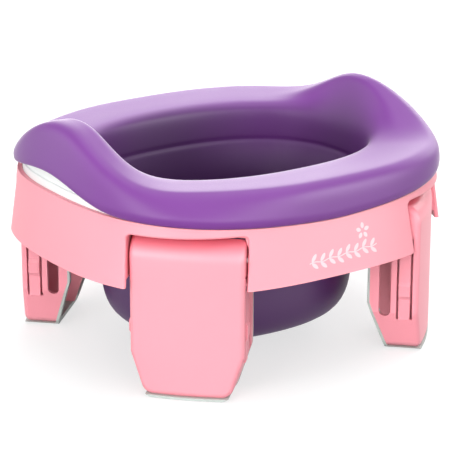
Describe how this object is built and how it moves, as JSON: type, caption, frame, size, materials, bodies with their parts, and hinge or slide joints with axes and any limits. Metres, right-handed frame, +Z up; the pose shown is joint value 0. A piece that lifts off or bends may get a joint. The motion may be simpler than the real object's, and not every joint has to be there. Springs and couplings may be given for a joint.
{
  "type": "potty training chair",
  "caption": "Folding travel potty with a skirted base on swing-out legs, a saddle-shaped seat ring and a soft lift-out liner that is seat cover and bowl.",
  "frame": {"origin": "on the floor under the middle of the seat", "axes": "+Z up, -Y the way the child faces, +Y the back, X across; the long axis runs along Y"},
  "size_m": [0.2356, 0.2566, 0.1509],
  "materials": {
    "silicone": "satin silicone",
    "pink_plastic": "fine satin moulding",
    "white_plastic": "semi-gloss moulding",
    "grey_rubber": "matte soft edging",
    "steel": "plain"
  },
  "bodies": {
    "base": {"base_frame": "pink_plastic", "seat_ring": "white_plastic", "seat_screws": "steel", "hinge_pin_front_right": "steel", "hinge_pin_back_right": "steel", "hinge_pin_back_left": "steel", "hinge_pin_front_left": "steel"},
    "liner": {"liner": "silicone"},
    "leg_front_right": {"leg_front_right": "pink_plastic", "leg_grip_front_right": "grey_rubber"},
    "latch_front_right_end": {"latch_tab_front_right_end": "pink_plastic"},
    "latch_front_right_side": {"latch_tab_front_right_side": "pink_plastic"},
    "leg_back_right": {"leg_back_right": "pink_plastic", "leg_grip_back_right": "grey_rubber"},
    "latch_back_right_side": {"latch_tab_back_right_side": "pink_plastic"},
    "latch_back_right_end": {"latch_tab_back_right_end": "pink_plastic"},
    "leg_back_left": {"leg_back_left": "pink_plastic", "leg_grip_back_left": "grey_rubber"},
    "latch_back_left_end": {"latch_tab_back_left_end": "pink_plastic"},
    "latch_back_left_side": {"latch_tab_back_left_side": "pink_plastic"},
    "leg_front_left": {"leg_front_left": "pink_plastic", "leg_grip_front_left": "grey_rubber"},
    "latch_front_left_side": {"latch_tab_front_left_side": "pink_plastic"},
    "latch_front_left_end": {"latch_tab_front_left_end": "pink_plastic"}
  },
  "joints": [
    {"name": "liner_lift", "type": "slide", "parent": "base", "child": "liner", "axis": [0, 0, 1], "range_m": [0, 0.15]},
    {"name": "fold_front_right", "type": "hinge", "parent": "base", "child": "leg_front_right", "pos_m": [0.08146, -0.08146, 0.0845], "axis": [-0.7071, -0.7071, 0], "range_deg": [0, 90]},
    {"name": "press_front_right_end", "type": "hinge", "parent": "leg_front_right", "child": "latch_front_right_end", "pos_m": [0.05892, -0.10538, 0.023], "axis": [-0.7071, 0.7071, 0], "range_deg": [0, 3.5], "stiffness_Nm_per_rad": 0.3},
    {"name": "press_front_right_side", "type": "hinge", "parent": "leg_front_right", "child": "latch_front_right_side", "pos_m": [0.10538, -0.05892, 0.023], "axis": [0.7071, -0.7071, 0], "range_deg": [0, 3.5], "stiffness_Nm_per_rad": 0.3},
    {"name": "fold_back_right", "type": "hinge", "parent": "base", "child": "leg_back_right", "pos_m": [0.08146, 0.08146, 0.0845], "axis": [0.7071, -0.7071, 0], "range_deg": [0, 90]},
    {"name": "press_back_right_side", "type": "hinge", "parent": "leg_back_right", "child": "latch_back_right_side", "pos_m": [0.10538, 0.05892, 0.023], "axis": [-0.7071, -0.7071, 0], "range_deg": [0, 3.5], "stiffness_Nm_per_rad": 0.3},
    {"name": "press_back_right_end", "type": "hinge", "parent": "leg_back_right", "child": "latch_back_right_end", "pos_m": [0.05892, 0.10538, 0.023], "axis": [0.7071, 0.7071, 0], "range_deg": [0, 3.5], "stiffness_Nm_per_rad": 0.3},
    {"name": "fold_back_left", "type": "hinge", "parent": "base", "child": "leg_back_left", "pos_m": [-0.08146, 0.08146, 0.0845], "axis": [0.7071, 0.7071, 0], "range_deg": [0, 90]},
    {"name": "press_back_left_end", "type": "hinge", "parent": "leg_back_left", "child": "latch_back_left_end", "pos_m": [-0.05892, 0.10538, 0.023], "axis": [0.7071, -0.7071, 0], "range_deg": [0, 3.5], "stiffness_Nm_per_rad": 0.3},
    {"name": "press_back_left_side", "type": "hinge", "parent": "leg_back_left", "child": "latch_back_left_side", "pos_m": [-0.10538, 0.05892, 0.023], "axis": [-0.7071, 0.7071, 0], "range_deg": [0, 3.5], "stiffness_Nm_per_rad": 0.3},
    {"name": "fold_front_left", "type": "hinge", "parent": "base", "child": "leg_front_left", "pos_m": [-0.08146, -0.08146, 0.0845], "axis": [-0.7071, 0.7071, 0], "range_deg": [0, 90]},
    {"name": "press_front_left_side", "type": "hinge", "parent": "leg_front_left", "child": "latch_front_left_side", "pos_m": [-0.10538, -0.05892, 0.023], "axis": [0.7071, 0.7071, 0], "range_deg": [0, 3.5], "stiffness_Nm_per_rad": 0.3},
    {"name": "press_front_left_end", "type": "hinge", "parent": "leg_front_left", "child": "latch_front_left_end", "pos_m": [-0.05892, -0.10538, 0.023], "axis": [-0.7071, -0.7071, 0], "range_deg": [0, 3.5], "stiffness_Nm_per_rad": 0.3}
  ]
}
